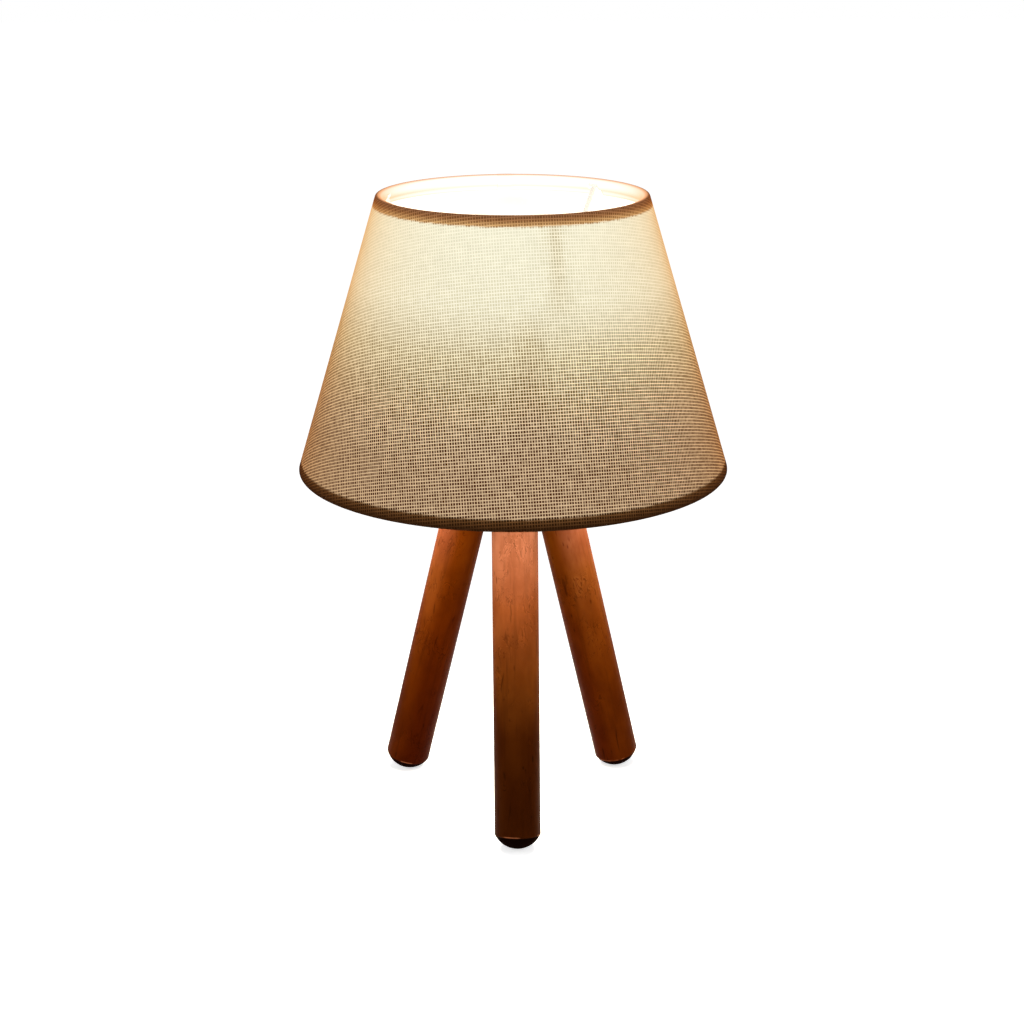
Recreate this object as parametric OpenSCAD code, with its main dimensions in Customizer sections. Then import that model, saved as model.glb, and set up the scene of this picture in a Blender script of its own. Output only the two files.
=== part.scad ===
// Tripod table lamp: three dowel legs in a round hub, a threaded lampholder, a globe lamp and a
// tapered cloth shade on a wire carrier. Millimetres, +Z up, origin on the table under the axis.
// One leg points to the front, towards -Y.

/* [Legs] */
// Diameter of a leg
leg_d = 23.5; // [20:0.5:26]
// Lean of a leg from upright, in degrees
leg_tilt = 14.65; // [10:0.05:17]
// Radius of the leg axes at the underside of the hub
leg_root_r = 20.9; // [20.5:0.1:26]
// Height of the rounded end that a leg stands on
dome_h = 7.6; // [4:0.2:10]

/* [Hub] */
// Height of the hub's underside over the table
hub_z = 184; // [120:1:220]
// Depth of the leg sockets in the hub
socket_depth = 11; // [8:0.5:12]
// Solid wood over the sockets
hub_web = 15; // [13:0.5:24]
// Wood left outside the sockets
hub_wall = 6.5; // [4:0.5:14]
// Rounding of the hub's two rims
hub_edge_r = 3; // [1:0.5:5]

/* [Screws] */
// Shank diameter of the screws that pull the legs into the hub
leg_screw_d = 4; // [3:0.5:5]
// Length of the leg screws under the head
leg_screw_len = 38; // [30:1:50]
// Depth of the leg screw heads under the top of the hub
leg_screw_sink = 1.6; // [1.4:0.1:3]
// Shank diameter of the screws that hold the flange
flange_screw_d = 3; // [2.5:0.5:3.5]
// Length of the flange screws under the head
flange_screw_len = 11; // [8:1:12]
// Radius of the circle on which the flange screws sit
flange_screw_r = 15; // [14:0.5:17]

/* [Flange and nipple] */
// Diameter of the steel flange on the hub
flange_d = 42; // [40:1:60]
// Thickness of the flange
flange_t = 2; // [1.5:0.1:3]
// Diameter of the flange's threaded collar
collar_d = 15; // [14:0.5:17]
// Height of the collar over the flange
collar_h = 4; // [3:0.5:10]
// Outer diameter of the threaded nipple
nipple_d = 10; // [9:0.1:10.2]
// Cable bore of the nipple
nipple_bore_d = 7.2; // [6:0.1:7.6]
// Height of the nipple's lower end over the hub's underside
nipple_inset = 3; // [1:0.5:8]

/* [Lampholder] */
// Outer diameter of the lampholder
holder_d = 39.4; // [38.4:0.1:40.4]
// Height of the lower half, from its neck to its rim
holder_cap_h = 24; // [23:0.5:30]
// Diameter of the neck
neck_d = 15; // [14:0.5:17]
// Height of the neck
neck_h = 6; // [5:0.5:8]
// Height of the threaded sleeve over the lower half
sleeve_h = 32; // [31:0.5:40]
// Radial depth of the sleeve's thread
sleeve_thread = 0.8; // [0.4:0.1:1]
// Pitch of the sleeve's thread
sleeve_pitch = 2.5; // [2:0.25:3]
// Wall of the sleeve, with its thread
sleeve_wall = 2.3; // [2:0.1:2.6]
// Thickness of the ceramic insert
insert_h = 6; // [5:0.5:7]
// Side of a terminal block
terminal = 6; // [5:0.5:6.5]
// Distance of the terminal blocks from the axis
terminal_x = 8; // [7:0.5:9]
// Thickness of the contact strips
strip_t = 0.6; // [0.4:0.1:0.8]
// Width of the contact strips
strip_w = 5; // [3:0.5:6]

/* [Lamp screw thread] */
// Inner radius of the lampholder's screw shell
shell_r = 13.35; // [13.25:0.05:13.6]
// Inner radius of the lamp's screw cap
cap_r = 11.85; // [11.6:0.05:11.9]
// Sheet of both screw shells
shell_t = 0.4; // [0.3:0.05:0.4]
// Radius of a rolled thread turn
bead_r = 1.2; // [0.9:0.1:1.2]
// Pitch of the screw thread
bead_pitch = 3.63; // [3.3:0.01:4]
// Turns that show in the shell
bead_turns = 5; // [3:1:5]

/* [Shade rings] */
// Outer diameter of the two rings that clamp the shade
shade_ring_d = 52; // [48:1:54]
// Height of each ring
shade_ring_h = 7; // [5:0.5:8]
// Height of the lower ring over the sleeve's lower end
shade_ring_seat = 7; // [5:0.5:8]
// Radial play of the rings on the sleeve
ring_play = 0.05; // [0.02:0.01:0.1]
// Finger grooves around each ring
groove_count = 24; // [12:1:36]
// Radius of a finger groove
groove_r = 1.2; // [0.6:0.1:1.6]

/* [Globe lamp] */
// Diameter of the globe
globe_d = 45; // [42:0.5:50]
// Wall of the globe
globe_wall = 1.2; // [0.8:0.1:2]
// Length of the lamp, from its tip to the top of the globe
lamp_len = 76; // [74:0.5:80]
// Height of the lamp's housing over the lampholder's rim
housing_h = 17.7; // [15:0.1:20]
// Wall of the housing
housing_wall = 1.5; // [1:0.1:2.5]
// Thickness of the board that carries the light chips
led_board_t = 1.2; // [0.8:0.1:2]
// Light chips on the board
led_count = 6; // [4:1:10]
// Side of a light chip
led_size = 3; // [2:0.5:3.5]

/* [Shade] */
// Outer diameter of the shade's lower edge
shade_bottom_d = 220; // [190:1:260]
// Outer diameter of the shade's upper edge
shade_top_d = 135; // [120:1:160]
// Height of the shade
shade_h = 140; // [125:1:170]
// Depth of the fitter ring under the shade's upper edge
fitter_drop = 70; // [60:1:80]
// Thickness of the cloth
cloth_t = 0.8; // [0.5:0.1:1.2]
// Thickness of the stiff lining
lining_t = 0.5; // [0.3:0.1:1]
// Diameter of the wire of the rings and arms
wire_d = 3; // [2.5:0.1:3.5]
// Outer diameter of the fitter ring
fitter_d = 60; // [58:1:68]
// Hole of the fitter ring
fitter_hole_d = 42; // [41:0.5:44]
// Thickness of the fitter ring
fitter_t = 1.5; // [1:0.1:2.5]
// Turn of the three arms from the front leg, in degrees
arm_turn = 17.5; // [0:0.5:60]
// Width of the glued overlap at the back of the shade
seam_w = 10; // [6:1:16]
// Height that the overlap stands proud
seam_t = 0.4; // [0.2:0.1:0.8]

/* [Hidden] */
$fn = 96;
LEG_ANGLES = [0, 120, 240];
SCREW_ANGLES = [60, 180, 300];

// Play between glued, rolled or screwed parts that don't move
fit = 0.05;
// Gap between the layers of the shade
layer_gap = 0.1;
// Overshoot of a cut past the surface that it opens
eps = 1;

// Head height and slot width of a wood screw, as shares of its shank diameter
HEAD_SHARE = 0.6;
SLOT_SHARE = 0.28;
// Radius of a wood screw's blunt point
screw_point_r = 0.3;
// Grub screw in the lampholder's neck, and its hexagon socket
lock_screw_r = 1.5;
lock_socket_r = 0.8;
lock_socket_h = 1.2;
// Hole in a terminal block for the wire's end, and the screw that clamps it
wire_hole_r = 1.4;
WIRE_HOLE_SHARE = 0.7;
clamp_screw_r = 1.25;
clamp_head_r = 2.2;
clamp_head_h = 1.4;
clamp_slot_w = 0.6;

leg_r = leg_d / 2;
// The rounded end is a cap of this ball, which touches the table
dome_r = (leg_r * leg_r + dome_h * dome_h) / (2 * dome_h);
// A leg's axis meets the table at this radius
foot_r = leg_root_r + hub_z * tan(leg_tilt);
// Distances along a leg's axis from where it meets the table
dome_at = dome_r / cos(leg_tilt);
leg_corner_at = dome_at - (dome_r - dome_h);
leg_top_at = (hub_z + socket_depth) / cos(leg_tilt);

hub_h = socket_depth + hub_web;
hub_top = hub_z + hub_h;
hub_r = leg_root_r + (leg_r + fit) / cos(leg_tilt) + hub_wall;
nipple_r = nipple_d / 2;
nipple_z = hub_z + nipple_inset;
leg_screw_head_at = (hub_top - leg_screw_sink) / cos(leg_tilt);

cap_z = hub_top + flange_t + collar_h;
holder_r = holder_d / 2;
neck_r = neck_d / 2;
// How far the nipple reaches into the lower half
nipple_grip = neck_h + 2;
cap_cone_h = 6;
cap_rim_z = cap_z + holder_cap_h;
// Width of the ledge that the insert rests on
insert_ledge = 1.8;
// The insert stands this far over the rim of the lower half
insert_proud = 2;
insert_top = cap_rim_z + insert_proud;
insert_z = insert_top - insert_h;
spigot_h = insert_proud * 2;
spigot_wall = 0.9;
sleeve_in_r = holder_r - sleeve_wall;
insert_r = sleeve_in_r - 2 * fit - layer_gap;
spigot_r = insert_r + fit + spigot_wall;
wiring_r = insert_r - insert_ledge;
sleeve_top = cap_rim_z + sleeve_h;
lip_t = 2.5;
// The lip at the sleeve's mouth covers the edge of the screw shell, with this much play inside it
lip_play = 0.65;
lip_r = shell_r + lip_play;
shell_top = sleeve_top - lip_t - layer_gap;
first_bead_z = shell_top - bead_turns * bead_pitch;

// The lamp's tip rests on the tongue of the centre contact, this high over the insert
tongue_rise = 5;
tip_z = insert_top + tongue_rise;
tongue_z = tip_z - strip_t;
// The tongue bends up from the strip here, and ends past the axis
tongue_bend_x = 3;
tongue_top_x = 1;
tongue_end_x = -4;
// Height to which the side contact's spring stands along the screw shell
side_spring_h = 3;
tip_h = 1.6;
tip_r = 4.7;
insulator_h = 1.9;
// Width of the insulator's rim round the tip
insulator_rim = 0.6;
// Depth of the insulator inside the screw cap
insulator_plug_h = 2;
lamp_cap_z = tip_z + tip_h + insulator_h;
// Clearance between the lamp's housing and the lampholder's rim
housing_gap = 0.3;
housing_z = sleeve_top + housing_gap;
housing_top = housing_z + housing_h;
lamp_cap_top = housing_z - layer_gap;
globe_r = globe_d / 2;
globe_z = tip_z + lamp_len - globe_r;
globe_foot_r = sqrt(globe_r * globe_r - pow(globe_z - housing_top, 2));
globe_foot_in = sqrt(pow(globe_r - globe_wall, 2) - pow(globe_z - housing_top, 2));
// The housing's foot hides the thread of the cap by this much
housing_lip = 0.15;
housing_foot_r = cap_r + bead_r + housing_lip;
// The foot of the housing is glued into the screw cap to this depth
plug_h = 9;
plug_r = cap_r - fit;
// The board lies in a seat this deep, and leaves this rim of the housing
led_seat_h = 2;
led_seat_rim = 0.8;
led_board_r = globe_foot_in - led_seat_rim;
led_board_z = housing_top - led_seat_h;
led_h = 0.7;
// Radius of the ring of light chips, as a share of the board's
LED_RING_SHARE = 0.6;
// Driver board, which stands on edge, with its capacitor and choke
driver_t = 1.4;
driver_side_gap = 1.5;
driver_drop = 8;
capacitor_r = 3.2;
capacitor_h = 10;
choke_w = 7;
choke_t = 5;
choke_rise = 10;

lower_ring_z = cap_rim_z + shade_ring_seat;
fitter_z = lower_ring_z + shade_ring_h;
fitter_top = fitter_z + fitter_t;
wire_r = wire_d / 2;

shade_top_z = fitter_z + fitter_drop;
shade_z = shade_top_z - shade_h;
shade_top_r = shade_top_d / 2;
shade_bottom_r = shade_bottom_d / 2;
// The wall of the shade leans in by this angle, and is this long
wall_lean = atan((shade_bottom_r - shade_top_r) / shade_h);
wall_len = shade_h / cos(wall_lean);
// Depths from the outer face of the cloth, measured square to the wall
lining_in = cloth_t + layer_gap;
lining_out = lining_in + lining_t;
wire_in = lining_out + layer_gap + wire_r;
// The cloth is rolled over a ring with this outer radius
roll_r = wire_r + layer_gap + cloth_t;
// Centre of the upper ring
top_wire_r = shade_top_r - wire_in * cos(wall_lean) + roll_r * sin(wall_lean);
top_wire_z = shade_top_z - wire_in * sin(wall_lean) - roll_r * cos(wall_lean);
// An arm starts on the fitter ring, a little inside its rim, and has a flat foot there
arm_foot_r = fitter_d / 2 - wire_r;
ARM_FOOT_SHARE = 0.8;
arm_foot_z = fitter_top + wire_r * ARM_FOOT_SHARE;
arm_rise = atan2(top_wire_z - arm_foot_z, top_wire_r - arm_foot_r);
arm_len = norm([top_wire_r - arm_foot_r, top_wire_z - arm_foot_z]);

// ---------------------------------------------------------------- shared shapes

// Puts a child on the axis of the leg at this angle, with z = 0 at the table and +z up the leg
module on_leg(angle) {
    rotate([0, 0, angle])
        translate([0, -foot_r, 0])
            rotate([-leg_tilt, 0, 0])
                children();
}

module tube(z, h, r_out, r_in) {
    difference() {
        translate([0, 0, z]) cylinder(h = h, r = r_out);
        translate([0, 0, z - eps]) cylinder(h = h + 2 * eps, r = r_in);
    }
}

// Countersunk wood screw that points down, with the top of its head at z = 0
module wood_screw(d, len) {
    head_r = d;
    head_h = d * HEAD_SHARE;
    slot = d * SLOT_SHARE;
    difference() {
        union() {
            translate([0, 0, -head_h]) cylinder(h = head_h, r1 = d / 2, r2 = head_r);
            translate([0, 0, -len + d]) cylinder(h = len - d - head_h, r = d / 2);
            translate([0, 0, -len]) cylinder(h = d, r1 = screw_point_r, r2 = d / 2);
        }
        for (turn = [0, 90])
            rotate([0, 0, turn])
                translate([-d / 2, -slot / 2, -head_h / 2])
                    cube([d, slot, head_h]);
    }
}

// The space that a wood screw needs, open above its head
module screw_hole(d, len, above) {
    translate([0, 0, -len - fit]) cylinder(h = len + fit, r = d / 2 + fit);
    translate([0, 0, -d * HEAD_SHARE])
        cylinder(h = d * HEAD_SHARE, r1 = d / 2 + fit, r2 = d + fit);
    cylinder(h = above, r = d + fit);
}

// Outline of a rolled screw shell: a straight sheet with a half-round bead for each turn
module shell_outline(r_in, z, top) {
    difference() {
        union() {
            translate([r_in, z]) square([shell_t, top - z]);
            for (turn = [0 : bead_turns - 1])
                translate([r_in, first_bead_z + turn * bead_pitch]) circle(bead_r);
        }
        for (turn = [0 : bead_turns - 1])
            translate([r_in, first_bead_z + turn * bead_pitch]) circle(bead_r - shell_t);
        translate([r_in - 2 * bead_r, z - eps]) square([2 * bead_r, top - z + 2 * eps]);
    }
}

// Outline plane of the shade's wall: x points out of the wall, y up along it from the lower edge
module on_wall() {
    translate([shade_bottom_r, shade_z]) rotate(wall_lean) children();
}

// Centres of the two rings in the wall's plane
module at_wall_rings() {
    for (y = [roll_r, wall_len - roll_r])
        translate([-wire_in, y]) children();
}

// Puts a child at the angle of each arm, with the arm in the plane of x and z
module at_arms() {
    for (angle = LEG_ANGLES)
        rotate([0, 0, angle + arm_turn - 90]) children();
}

// The three arms as wires of the given radius, from the fitter ring to the upper ring's centre
module arm_wires(r) {
    at_arms()
        translate([arm_foot_r, 0, arm_foot_z]) {
            sphere(r);
            rotate([0, 90 - arm_rise, 0]) cylinder(h = arm_len, r = r);
        }
}

// ---------------------------------------------------------------- legs and hub

module leg(angle) {
    color("sienna")
        on_leg(angle)
            difference() {
                union() {
                    translate([0, 0, leg_corner_at])
                        cylinder(h = leg_top_at - leg_corner_at, r = leg_r);
                    intersection() {
                        translate([0, 0, dome_at]) sphere(dome_r);
                        cylinder(h = leg_corner_at, r = leg_r);
                    }
                }
                translate([0, 0, leg_screw_head_at])
                    screw_hole(leg_screw_d, leg_screw_len, eps);
            }
}

module leg_front() { leg(LEG_ANGLES[0]); }
module leg_rear_right() { leg(LEG_ANGLES[1]); }
module leg_rear_left() { leg(LEG_ANGLES[2]); }

// Outline of the hub with both rims rounded
module hub_outline() {
    square([hub_r - hub_edge_r, hub_h]);
    translate([0, hub_edge_r]) square([hub_r, hub_h - 2 * hub_edge_r]);
    for (y = [hub_edge_r, hub_h - hub_edge_r])
        translate([hub_r - hub_edge_r, y]) circle(hub_edge_r);
}

module hub() {
    color("peru")
        difference() {
            translate([0, 0, hub_z]) rotate_extrude() hub_outline();
            translate([0, 0, hub_z - eps])
                cylinder(h = hub_h + 2 * eps, r = nipple_r + fit);
            for (angle = LEG_ANGLES)
                on_leg(angle) {
                    cylinder(h = leg_top_at + fit, r = leg_r + fit);
                    translate([0, 0, leg_screw_head_at])
                        screw_hole(leg_screw_d, leg_screw_len, leg_screw_d + leg_screw_sink);
                }
            at_flange_screws() screw_hole(flange_screw_d, flange_screw_len, eps);
        }
}

module leg_screws() {
    color("silver")
        for (angle = LEG_ANGLES)
            on_leg(angle)
                translate([0, 0, leg_screw_head_at]) wood_screw(leg_screw_d, leg_screw_len);
}

// Tops of the flange screws, flush with the flange
module at_flange_screws() {
    for (angle = SCREW_ANGLES)
        rotate([0, 0, angle])
            translate([0, -flange_screw_r, hub_top + flange_t]) children();
}

module flange() {
    color("lightgray")
        difference() {
            union() {
                translate([0, 0, hub_top]) cylinder(h = flange_t, r = flange_d / 2);
                translate([0, 0, hub_top]) cylinder(h = flange_t + collar_h, r = collar_d / 2);
            }
            translate([0, 0, hub_top - eps])
                cylinder(h = flange_t + collar_h + 2 * eps, r = nipple_r + fit);
            at_flange_screws() screw_hole(flange_screw_d, flange_screw_len, eps);
        }
}

module flange_screws() {
    color("silver") at_flange_screws() wood_screw(flange_screw_d, flange_screw_len);
}

module nipple() {
    color("gold")
        tube(nipple_z, cap_z + nipple_grip - nipple_z, nipple_r, nipple_bore_d / 2);
}

// ---------------------------------------------------------------- lampholder

module cap_lock_place() {
    translate([0, 0, cap_z + neck_h / 2]) rotate([90, 0, 0]) children();
}

module holder_cap() {
    cone_z = cap_z + neck_h;
    cone_top = cone_z + cap_cone_h;
    cavity_z = cap_z + nipple_grip;
    color("dimgray")
        difference() {
            union() {
                translate([0, 0, cap_z]) cylinder(h = neck_h, r = neck_r);
                translate([0, 0, cone_z]) cylinder(h = cap_cone_h, r1 = neck_r, r2 = holder_r);
                translate([0, 0, cone_top]) cylinder(h = cap_rim_z - cone_top, r = holder_r);
                translate([0, 0, cap_rim_z]) cylinder(h = spigot_h, r = spigot_r);
            }
            translate([0, 0, cap_z - eps])
                cylinder(h = nipple_grip + eps, r = nipple_r + fit);
            translate([0, 0, cavity_z])
                cylinder(h = cap_cone_h, r1 = nipple_r + fit, r2 = wiring_r);
            translate([0, 0, cavity_z + cap_cone_h])
                cylinder(h = insert_z - cavity_z - cap_cone_h + eps, r = wiring_r);
            translate([0, 0, insert_z])
                cylinder(h = insert_h + spigot_h, r = insert_r + fit);
            cap_lock_place() cylinder(h = neck_r + eps, r = lock_screw_r + fit);
        }
}

module cap_lock_screw() {
    color("silver")
        cap_lock_place()
            difference() {
                translate([0, 0, nipple_r + fit])
                    cylinder(h = neck_r - nipple_r, r = lock_screw_r);
                translate([0, 0, neck_r - lock_socket_h])
                    cylinder(h = lock_socket_h + eps, r = lock_socket_r, $fn = 6);
            }
}

// Outline of the contact strips, for x outward and y up, on the side of one terminal block.
// The strip climbs through the insert; reach is where its upper flat run ends
module strip_riser(reach) {
    polygon([
        [terminal_x, insert_z], [terminal_x + strip_t, insert_z],
        [terminal_x + strip_t, insert_top + (reach > terminal_x ? 0 : strip_t)],
        [reach, insert_top + (reach > terminal_x ? 0 : strip_t)],
        [reach, insert_top + (reach > terminal_x ? strip_t : 0)],
        [terminal_x, insert_top + (reach > terminal_x ? strip_t : 0)]
    ]);
}

module holder_insert() {
    color("ivory")
        difference() {
            translate([0, 0, insert_z]) cylinder(h = insert_h, r = insert_r);
            for (side = [-1, 1])
                translate([side * (terminal_x + strip_t / 2), 0, insert_z + insert_h / 2])
                    cube([strip_t + 2 * fit, strip_w + 2 * fit, insert_h + eps], center = true);
        }
}

module at_terminals() {
    for (turn = [0, 180])
        rotate([0, 0, turn])
            translate([terminal_x + strip_t / 2, 0, insert_z - terminal]) children();
}

module terminal_blocks() {
    color("goldenrod")
        at_terminals()
            difference() {
                translate([-terminal / 2, -terminal / 2, 0]) cube(terminal);
                translate([0, 0, -eps])
                    cylinder(h = terminal * WIRE_HOLE_SHARE + eps, r = wire_hole_r);
                translate([0, 0, terminal / 2])
                    rotate([0, 90, 0]) cylinder(h = terminal, r = clamp_screw_r + fit);
            }
}

module terminal_screws() {
    color("silver")
        at_terminals()
            translate([0, 0, terminal / 2])
                rotate([0, 90, 0])
                    difference() {
                        union() {
                            translate([0, 0, clamp_slot_w])
                                cylinder(h = terminal / 2, r = clamp_screw_r);
                            translate([0, 0, terminal / 2])
                                cylinder(h = clamp_head_h, r = clamp_head_r);
                        }
                        translate([-terminal / 2, -clamp_slot_w / 2,
                                   terminal / 2 + clamp_head_h - clamp_slot_w])
                            cube([terminal, clamp_slot_w, clamp_head_h]);
                    }
}

module centre_contact() {
    // The tongue rises from the strip's flat run to the lamp's tip
    color("goldenrod")
        rotate([90, 0, 180])
            translate([0, 0, -strip_w / 2])
                linear_extrude(strip_w) {
                    strip_riser(tongue_bend_x);
                    polygon([
                        [tongue_bend_x, insert_top], [tongue_bend_x, insert_top + strip_t],
                        [tongue_top_x, tip_z], [tongue_end_x, tip_z],
                        [tongue_end_x, tongue_z], [tongue_top_x - strip_t, tongue_z]
                    ]);
                }
}

module side_contact() {
    spring_x = shell_r - strip_t - layer_gap;
    color("goldenrod")
        intersection() {
            rotate([90, 0, 0])
                translate([0, 0, -strip_w / 2])
                    linear_extrude(strip_w) {
                        strip_riser(spring_x);
                        translate([spring_x, insert_top]) square([strip_t, side_spring_h]);
                    }
            cylinder(h = tip_z, r = shell_r - fit);
        }
}

module screw_shell() {
    color("lightgoldenrodyellow") rotate_extrude() shell_outline(shell_r, insert_top, shell_top);
}

module holder_sleeve() {
    thread_z = cap_rim_z + spigot_h;
    thread_turns = floor((sleeve_top - thread_z - sleeve_pitch) / sleeve_pitch);
    color("dimgray")
        difference() {
            translate([0, 0, cap_rim_z]) cylinder(h = sleeve_h, r = holder_r);
            translate([0, 0, cap_rim_z - eps])
                cylinder(h = spigot_h + fit + eps, r = spigot_r + fit);
            translate([0, 0, cap_rim_z])
                cylinder(h = sleeve_h - lip_t, r = sleeve_in_r);
            translate([0, 0, cap_rim_z]) cylinder(h = sleeve_h + eps, r = lip_r);
            for (turn = [0 : thread_turns - 1])
                tube(thread_z + (turn + 0.5) * sleeve_pitch, sleeve_pitch / 2,
                    holder_r + eps, holder_r - sleeve_thread);
        }
}

module shade_ring(z) {
    color("dimgray")
        difference() {
            tube(z, shade_ring_h, shade_ring_d / 2, holder_r + ring_play);
            for (i = [0 : groove_count - 1])
                rotate([0, 0, i * 360 / groove_count])
                    translate([shade_ring_d / 2 + groove_r * 0.3, 0, z - eps])
                        cylinder(h = shade_ring_h + 2 * eps, r = groove_r);
        }
}

module lower_shade_ring() { shade_ring(lower_ring_z); }
module upper_shade_ring() { shade_ring(fitter_top); }

// ---------------------------------------------------------------- globe lamp

module lamp_tip() {
    color("silver")
        translate([0, 0, tip_z]) cylinder(h = tip_h, r = tip_r);
}

module lamp_insulator() {
    foot = tip_z + tip_h;
    color("black") {
        translate([0, 0, foot])
            cylinder(h = insulator_h, r1 = tip_r + insulator_rim, r2 = cap_r - fit);
        translate([0, 0, lamp_cap_z]) cylinder(h = insulator_plug_h, r = cap_r - fit);
    }
}

module lamp_cap() {
    color("lightgray") rotate_extrude() shell_outline(cap_r, lamp_cap_z, lamp_cap_top);
}

module lamp_housing() {
    plug_z = housing_z - plug_h;
    color("white")
        difference() {
            union() {
                translate([0, 0, plug_z]) cylinder(h = plug_h, r = plug_r);
                translate([0, 0, housing_z])
                    cylinder(h = housing_h, r1 = housing_foot_r, r2 = globe_foot_r);
            }
            translate([0, 0, plug_z - eps])
                cylinder(h = plug_h + eps, r = plug_r - housing_wall);
            translate([0, 0, housing_z - fit])
                cylinder(h = led_board_z - housing_z + fit,
                    r1 = plug_r - housing_wall, r2 = led_board_r - housing_wall);
            translate([0, 0, led_board_z]) cylinder(h = housing_h, r = led_board_r + fit);
        }
}

module lamp_led_board() {
    color("gainsboro")
        translate([0, 0, led_board_z]) cylinder(h = led_board_t, r = led_board_r);
}

module lamp_leds() {
    color("khaki")
        for (i = [0 : led_count - 1])
            rotate([0, 0, i * 360 / led_count])
                translate([led_board_r * LED_RING_SHARE, 0, led_board_z + led_board_t + led_h / 2])
                    cube([led_size, led_size, led_h], center = true);
}

module lamp_driver() {
    driver_w = 2 * (plug_r - housing_wall - driver_side_gap);
    driver_z = housing_z - driver_drop;
    color("seagreen") {
        translate([-driver_w / 2, -driver_t / 2, driver_z])
            cube([driver_w, driver_t, led_board_z - driver_z]);
        // The capacitor and the choke are soldered against the board
        translate([0, driver_t / 2 + capacitor_r - fit, driver_z + capacitor_r])
            cylinder(h = capacitor_h, r = capacitor_r);
        translate([-choke_w / 2, -driver_t / 2 - choke_t + fit, driver_z + choke_rise])
            cube([choke_w, choke_t, choke_w]);
    }
}

module lamp_globe() {
    color("white")
        difference() {
            translate([0, 0, globe_z]) sphere(globe_r);
            translate([0, 0, globe_z]) sphere(globe_r - globe_wall);
            translate([0, 0, housing_top - 2 * globe_r])
                cylinder(h = 2 * globe_r, r = globe_r + eps);
        }
}

// ---------------------------------------------------------------- shade

// Stiff sheet inside the cloth, from edge to edge, with the given play all round
module lining_outline(play) {
    on_wall()
        translate([-lining_out - play, lining_in - play])
            square([lining_t + 2 * play, wall_len - 2 * lining_in + 2 * play]);
}

// The cloth covers the lining and is rolled inward round the ring at each edge
module cloth_outline() {
    difference() {
        on_wall() {
            translate([-cloth_t, lining_out])
                square([cloth_t, wall_len - 2 * lining_out]);
            for (y = [lining_out, wall_len - lining_out])
                translate([-lining_out, y]) circle(lining_out);
            for (y = [0, wall_len - roll_r])
                translate([-wire_in, y]) square([wire_in - lining_out, roll_r]);
            at_wall_rings() circle(roll_r);
        }
        lining_outline(layer_gap);
        on_wall() at_wall_rings() circle(wire_r + layer_gap);
    }
}

module shade_cloth() {
    seam_angle = seam_w / shade_bottom_r * 180 / PI;
    color("wheat")
        difference() {
            union() {
                rotate_extrude() cloth_outline();
                // Glued overlap at the back
                rotate([0, 0, 90 - seam_angle / 2])
                    rotate_extrude(angle = seam_angle)
                        on_wall()
                            translate([-cloth_t / 2, 2 * roll_r])
                                square([cloth_t / 2 + seam_t, wall_len - 4 * roll_r]);
            }
            arm_wires(wire_r + layer_gap);
        }
}

module shade_lining() {
    color("ivory") rotate_extrude() lining_outline(0);
}

// Wire ring in the hem: 0 is the lower edge, 1 the upper
module hem_ring(edge) {
    color("silver")
        rotate_extrude()
            on_wall()
                translate([-wire_in, edge * (wall_len - 2 * roll_r) + roll_r])
                    circle(wire_r);
}

module shade_bottom_ring() { hem_ring(0); }
module shade_top_ring() { hem_ring(1); }

module shade_arms() {
    color("silver")
        difference() {
            arm_wires(wire_r);
            // Flat foot on the fitter ring, and a saddle at the upper ring
            translate([0, 0, fitter_top - 2 * wire_d])
                cylinder(h = 2 * wire_d, r = fitter_d);
            translate([0, 0, top_wire_z])
                rotate_extrude() translate([top_wire_r, 0]) circle(wire_r);
            translate([0, 0, top_wire_z]) cylinder(h = wire_d * 2, r = shade_bottom_r);
        }
}

module shade_fitter() {
    color("silver") tube(fitter_z, fitter_t, fitter_d / 2, fitter_hole_d / 2);
}

// ---------------------------------------------------------------- the nodes

leg_front();
leg_rear_right();
leg_rear_left();
hub();
leg_screws();
flange();
flange_screws();
nipple();
holder_cap();
cap_lock_screw();
holder_insert();
terminal_blocks();
terminal_screws();
centre_contact();
side_contact();
screw_shell();
holder_sleeve();
lower_shade_ring();
upper_shade_ring();
lamp_tip();
lamp_insulator();
lamp_cap();
lamp_housing();
lamp_driver();
lamp_led_board();
lamp_leds();
lamp_globe();
shade_cloth();
shade_lining();
shade_top_ring();
shade_bottom_ring();
shade_arms();
shade_fitter();
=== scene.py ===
import math

import bpy
from mathutils import Matrix, Vector


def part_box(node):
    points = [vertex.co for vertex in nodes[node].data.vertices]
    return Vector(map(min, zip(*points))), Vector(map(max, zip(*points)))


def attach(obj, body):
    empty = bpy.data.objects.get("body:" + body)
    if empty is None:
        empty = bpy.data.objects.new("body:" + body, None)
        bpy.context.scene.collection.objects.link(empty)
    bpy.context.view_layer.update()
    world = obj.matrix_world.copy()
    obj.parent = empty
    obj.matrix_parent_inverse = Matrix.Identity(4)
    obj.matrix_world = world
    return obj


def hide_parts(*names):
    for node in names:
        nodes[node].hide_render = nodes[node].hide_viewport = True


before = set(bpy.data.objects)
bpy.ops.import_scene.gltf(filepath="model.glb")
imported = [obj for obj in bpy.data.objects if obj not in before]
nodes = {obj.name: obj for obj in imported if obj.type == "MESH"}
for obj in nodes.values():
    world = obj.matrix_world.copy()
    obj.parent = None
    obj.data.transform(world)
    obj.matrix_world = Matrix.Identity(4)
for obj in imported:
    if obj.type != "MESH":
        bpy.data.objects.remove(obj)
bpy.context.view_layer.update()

MM = 0.001
TAU = 2 * math.pi
scene = bpy.context.scene
scene.view_settings.view_transform = "Standard"

# ---------------------------------------------------------------- camera
CAMERA_AT = (-0.02734, -0.9741, 0.4719)
YAW, PITCH, ROLL = 1.57, 17.83, -0.14  # degrees to the right, down, and about the view
LENS, SENSOR = 69.36, 36  # mm


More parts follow.
